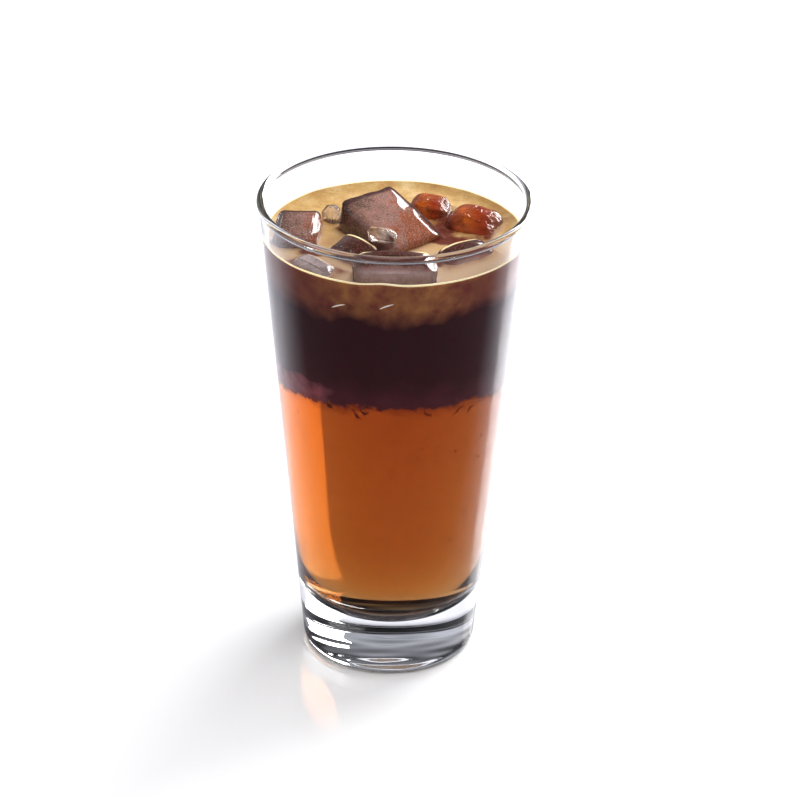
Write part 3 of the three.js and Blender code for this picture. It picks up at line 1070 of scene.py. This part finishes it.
def glass_finish(name, tint):
    """Clear glass with a very slow unevenness; the tint scales its straight-on mirror reflection."""
    made, sheet = material(name)
    wave = sheet.bump(sheet.noise(*GLASS_NOISE), GLASS_WAVE_STRENGTH, GLASS_WAVE)
    surface = sheet.principled(Base_Color=WHITE, Roughness=0.0, IOR=GLASS_IOR, Transmission_Weight=1.0,
                               Specular_Tint=tint, Normal=wave)
    sheet.finish(Surface=surface)
    return made


def amber_finish():
    """The clear amber drink: it bends light by its index and takes colour with depth."""
    made, sheet = material("drink_amber")
    surface = sheet.principled(Base_Color=WHITE, Roughness=0.0, IOR=DRINK_IOR, Transmission_Weight=1.0,
                               Specular_Tint=BLACK)
    sheet.finish(Surface=surface, Volume=sheet.absorb(AMBER_DEPTH, AMBER_DENSITY))
    return made


def glint_streaks(x, y, z):
    """1 in each short bowed streak of painted light at the front wall, 0 elsewhere, one value per streak."""
    streaks = []
    for pixels in GLINT_PIXELS:
        start, end = (wall_point(pixel, 0) for pixel in pixels)
        middle, half = (start + end) / 2, (end - start) / 2
        reach = float(np.hypot(half[0], half[2]))
        right, up = x - middle[0], z - middle[2]
        along = (right * half[0] + up * half[2]) / reach ** 2
        across = (up * half[0] - right * half[2]) / (reach * GLINT_WIDTH) + along * along
        inside = ((1.0 - along * along - across * across) * GLINT_STEEPNESS).clamped()
        streaks.append(inside * y.ramped(*FRONT_RAMP))
    return streaks


def coffee_finish():
    """Coffee in the drink: it takes colour with depth, and at the wall a brown haze hides what is behind.

    The haze starts at the uneven boundary; it is paler at that edge, towards the surface and
    where ice stands close to the wall. Near that ice it is golden: partly the ice behind, partly
    painted light, as light comes down through the ice.
    """
    made, sheet = material("drink_coffee")
    x, y, z = sheet.parts(sheet.place())
    over = z - (BLEND_LEVEL - BLEND_SWING * ((x * x - y * y) / (x * x + y * y)))
    curl = sheet.uneven(*CURL_FINE) + sheet.uneven(*CURL_WIDE)
    lower = ((over + curl + BOUNDARY_LIFT) / BOUNDARY_FADE).clamped()
    fringe = (1.0 - over / FRINGE_HEIGHT + sheet.uneven(*FRINGE_SWING)).clamped()
    upper = ((z - HAZE_LEVEL + sheet.uneven(*SCALLOP)) / HAZE_FADE).clamped()
    patch = sheet.noise(*PATCH_NOISE).ramped(*PATCH_RAMP)
    # Painted light: near the ice at the wall the haze turns golden, as ice lit from above shows through
    ice = (sheet.attribute("ice") * ICE_GLIMPSE * patch).clamped() * upper
    left = (x + SMEAR_LEFT) / SMEAR_REACH
    low = (over - SMEAR_LIFT) / SMEAR_HEIGHT
    cloud = 1.0 - left * left - low * low + sheet.uneven(*SMEAR_SWING)
    smear = (cloud * SMEAR_STEEPNESS).clamped() * (y.ramped(*AHEAD_RAMP) * SMEAR_SHARE)
    still = sheet.mix(smear, sheet.mix(fringe, HAZE_LOW, HAZE_FRINGE), HAZE_LEFT)
    colour = sheet.mix(ice, sheet.mix(upper, still, HAZE_HIGH), HAZE_LIT_ICE)
    # Painted highlights: short streaks of light at the front wall, which glow
    glow = BLACK
    for streak in glint_streaks(x, y, z):
        colour = sheet.mix(streak, colour, GLINT)
        glow = sheet.mix(streak, glow, GLINT_GLOW)
    haze = sheet.principled(Base_Color=colour, Roughness=0.9, Specular_IOR_Level=0.0,
                            Emission_Color=glow, Emission_Strength=1.0)
    share = lower * HAZE_SHARE * sheet.at_wall(x, y, z, STAIN_FADE)
    sheet.finish(Surface=sheet.blend(share, sheet.unbent(), haze),
                 Volume=sheet.absorb(COFFEE_DEPTH, COFFEE_DENSITY))
    return made


def thread_finish():
    """Threads of coffee that hang in the amber: dark, and thinner here and there."""
    made, sheet = material("coffee_thread")
    dark = sheet.principled(Base_Color=HAZE_LOW, Roughness=0.9, Specular_IOR_Level=0.0)
    share = sheet.noise(*THREAD_NOISE).ramped(*THREAD_RAMP)
    sheet.finish(Surface=sheet.blend(share, sheet.unbent(), dark))
    return made


def foam_finish():
    """Crema: fine bubbles under a wet skin, mottled from caramel to cream, and parted where coffee shows.

    It is thinner and browner towards the front, and palest in the line where it meets the wall, which is
    painted light that glows.
    """
    made, sheet = material("crema_foam")
    x, y, z = sheet.parts(sheet.place())
    mottle = sheet.noise(*MOTTLE_NOISE)
    grain = sheet.noise(*FOAM_NOISE)
    pale = sheet.ramp(mottle * MOTTLE_SHARE + grain * FOAM_SHARE, FOAM_TONES)
    thinned = (THIN_START - y / THIN_FADE + mottle.swing(THIN_MOTTLE)).clamped()
    thin = sheet.mix(thinned, pale, FOAM_THIN)
    warp = mottle.swing(WARP_MOTTLE) + grain.swing(WARP_FOAM)
    parted = 0
    for middle_x, middle_y, reach_x, reach_y in POOLS:
        across = (x - middle_x * MM) / (reach_x * MM)
        along = (y - middle_y * MM) / (reach_y * MM)
        parted = parted + ((1.0 - across * across - along * along + warp) * POOL_STEEPNESS).clamped()
    # Darker in a ring round each block: wet foam, and partly painted shade where the foam meets the ice
    ring = (sheet.attribute("ice") * (mottle * RING_SLOPE - RING_OFFSET)).clamped()
    broken = sheet.mix((parted + ring).clamped(), thin, FOAM_PARTED)
    # Painted light: the crema glows pale in a thin line where it meets the wall
    rim = sheet.at_wall(x, y, z, RIM_FADE)
    relief = sheet.bump(grain, FOAM_RELIEF_STRENGTH, FOAM_RELIEF)
    foam = sheet.principled(
        Base_Color=sheet.mix(rim, broken, FOAM_RIM_PAINTED_LIGHT), Roughness=0.3, Normal=relief, Specular_IOR_Level=0.2,
        Emission_Color=sheet.mix(rim, BLACK, FOAM_RIM_PAINTED_GLOW), Emission_Strength=1.0,
        Subsurface_Weight=0.8, Subsurface_Scale=FOAM_SCATTER, Subsurface_Radius=FOAM_SCATTER_RADIUS)
    sheet.finish(Surface=foam)
    return made


def grainy(grain, cloud, grain_strength, cloud_strength, start):
    """Where a fine grain stands out, more in the clouds or more between them."""
    return (grain.swing(grain_strength) + cloud.swing(cloud_strength) + start).clamped()


def ice_finish(name, look):
    """Wet ice: clear inside, pitted, under a skin of drink and frost whose tone follows a kept value.

    The skin clouds over here and clears there. Its tone holds painted light and shade, by how a
    point faces or where it lies from left to right; it has painted shade at the ends of the block,
    and a line of another colour runs along the upper edges at the back, painted shade on some
    finishes and crema clinging with a painted highlight on others.
    """
    made, sheet = material("ice_" + name)
    pits = sheet.noise(*PIT_NOISE)
    cloud = sheet.noise(*CLOUD_NOISE)
    pitted = sheet.bump(pits, PIT_STRENGTH, PIT_DEPTH)
    melted = sheet.bump(sheet.noise(*MELT_NOISE), MELT_STRENGTH, look.melt * MELT_DEPTH, pitted)
    clear = sheet.principled(Base_Color=WHITE, Roughness=0.03, IOR=ICE_IOR, Transmission_Weight=1.0,
                             Normal=melted)
    # Painted light and shade: the tone follows how a point faces or where it lies from left to right
    tone = sheet.ramp(sheet.attribute(look.lead) + cloud.swing(TONE_CLOUDING), look.tones)
    speckle = grainy(pits, cloud, *SPECKLE) * look.grain
    frost = grainy(sheet.noise(*FROST_NOISE), cloud, *FROST) * (look.grain * FROST_SHARE)
    # A line along the back edges: painted shade, or crema clinging with a painted highlight
    line = sheet.attribute("line") * cloud.ramped(*LINE_RAMP) * look.line
    # Painted shade at the ends of the block
    ends = sheet.attribute("ends") * cloud.ramped(*END_SHADE_RAMP) * look.ends
    rough = sheet.mix(frost, sheet.mix(speckle, tone, ICE_SPECK_AND_SHADE), ICE_FROST)
    colour = sheet.mix(line, sheet.mix(ends, rough, ICE_SPECK_AND_SHADE), look.line_colour)
    skin = sheet.principled(Base_Color=colour, Roughness=0.6, Normal=melted, Specular_IOR_Level=0.0,
                            Coat_Weight=1.0 - line, Coat_Roughness=0.03)
    share = (cloud.swing(COVER_CLOUDING) + look.cover + line).clamped()
    sheet.finish(Surface=sheet.blend(share, clear, skin), Volume=sheet.absorb(ICE_DEPTH, ICE_DENSITY))
    return made


def make_floor():
    """A wide pale glossy table: mirrored in the glass its near side has painted shade, to match the dark
    room there; to rays other than the camera's it is cooler, shinier and painted dark far off.
    """
    corners = ((-1, -1), (1, -1), (1, 1), (-1, 1))
    square = np.array([(x * TABLE_REACH, y * TABLE_REACH, -NEST) for x, y in corners])
    floor = mesh_piece("floor", square, [np.array([[0, 1, 2, 3]])])
    made, sheet = material("floor")
    seen = sheet.path("Is Camera Ray")
    hidden = (1 - seen) * (1 - sheet.path("Diffuse Depth"))
    x, y, _ = sheet.parts(sheet.place())
    # Painted shade: the near side is dark only in mirror images, the far table dark to rays other than the
    # camera's
    near = (NEAR_START - y * NEAR_FADE + (x * x) ** 0.5 * NEAR_SPREAD).clamped()
    near = near * hidden * sheet.path("Glossy Depth")
    far = y.ramped(*FAR_RAMP) * hidden
    colour = sheet.mix(near, sheet.mix(seen, TABLE_COOL, TABLE), TABLE_NEAR_PAINTED_SHADE)
    tables = [sheet.principled(Base_Color=colour, Roughness=TABLE_ROUGHNESS, Specular_IOR_Level=shine)
              for shine in (TABLE_SHINE_IN_GLASS, TABLE_SHINE)]
    dark = sheet.node("ShaderNodeBsdfDiffuse", {}, {"Color": ROOM_DARK})
    sheet.finish(Surface=sheet.blend(far, sheet.blend(seen, *tables), dark))
    floor.data.materials.append(made)


def make_world():
    """A dim room above a pale table: lit a little from behind, so that the glass keeps its dark lines."""
    world = bpy.data.worlds.new("studio")
    bpy.context.scene.world = world
    sheet = Sheet(world, "ShaderNodeOutputWorld")
    sideways, toward, height = sheet.parts(sheet.place("Generated"))
    back = toward.ramped(*BACK_RAMP) * height.ramped(*BACK_TOP_RAMP) * height.ramped(*BACK_FOOT_RAMP)
    left = sideways.ramped(*LEFT_RAMP) * height.ramped(*LEFT_TOP_RAMP)
    front = sheet.mix(sheet.path("Glossy Depth"), ROOM_SOFT, ROOM_NEAR)
    bare = sheet.mix(toward.ramped(*BARE_RAMP), front, ROOM_DARK)
    lit = sheet.mix((back + left).clamped(), bare, ROOM_FAR)
    soft = sheet.mix(sheet.path("Diffuse Depth"), lit, ROOM_SOFT)
    level = sheet.mix(sheet.path("Is Camera Ray"), soft, WHITE)
    sheet.finish(Surface=sheet.node("ShaderNodeBackground", {}, {"Color": level, "Strength": 1.0}))


def area_light(name, place, aim, side, power):
    """A square soft light at a place, facing a point, that the camera doesn't see."""
    data = bpy.data.lights.new(name, "AREA")
    data.shape = "SQUARE"
    data.size = side
    data.energy = power
    light = bpy.data.objects.new(name, data)
    light.location = place
    toward = Vector(aim) - Vector(place)
    light.rotation_euler = toward.to_track_quat("-Z", "Y").to_euler()
    light.visible_camera = False
    bpy.context.scene.collection.objects.link(light)
    return light


def make_lights():
    """A large key low at the right and behind, mirrored in the table to light one side, and a fill above."""
    place = (KEY_REACH * math.sin(KEY_TURN), KEY_REACH * math.cos(KEY_TURN), KEY_HEIGHT)
    area_light("key", place, KEY_AIM, KEY_SIDE, KEY_POWER)
    fill = area_light("fill", FILL_PLACE, FILL_AIM, FILL_SIDE, FILL_POWER)
    fill.visible_glossy = False
    fill.visible_transmission = False


make_camera()
make_world()
make_lights()
make_floor()

make_glass(glass_finish("glass_clear", WHITE), glass_finish("glass_wetted", BLACK))
make_drink(amber_finish())
make_coffee(coffee_finish(), thread_finish())
make_crema(foam_finish())
make_ice({name: ice_finish(name, look) for name, look in ICE_LOOKS.items()})

scene = bpy.context.scene
scene.view_settings.view_transform = "Standard"
scene.cycles.max_bounces = BENDS
scene.cycles.transmission_bounces = BENDS
scene.cycles.transparent_max_bounces = PASSES
scene.cycles.use_denoising = True
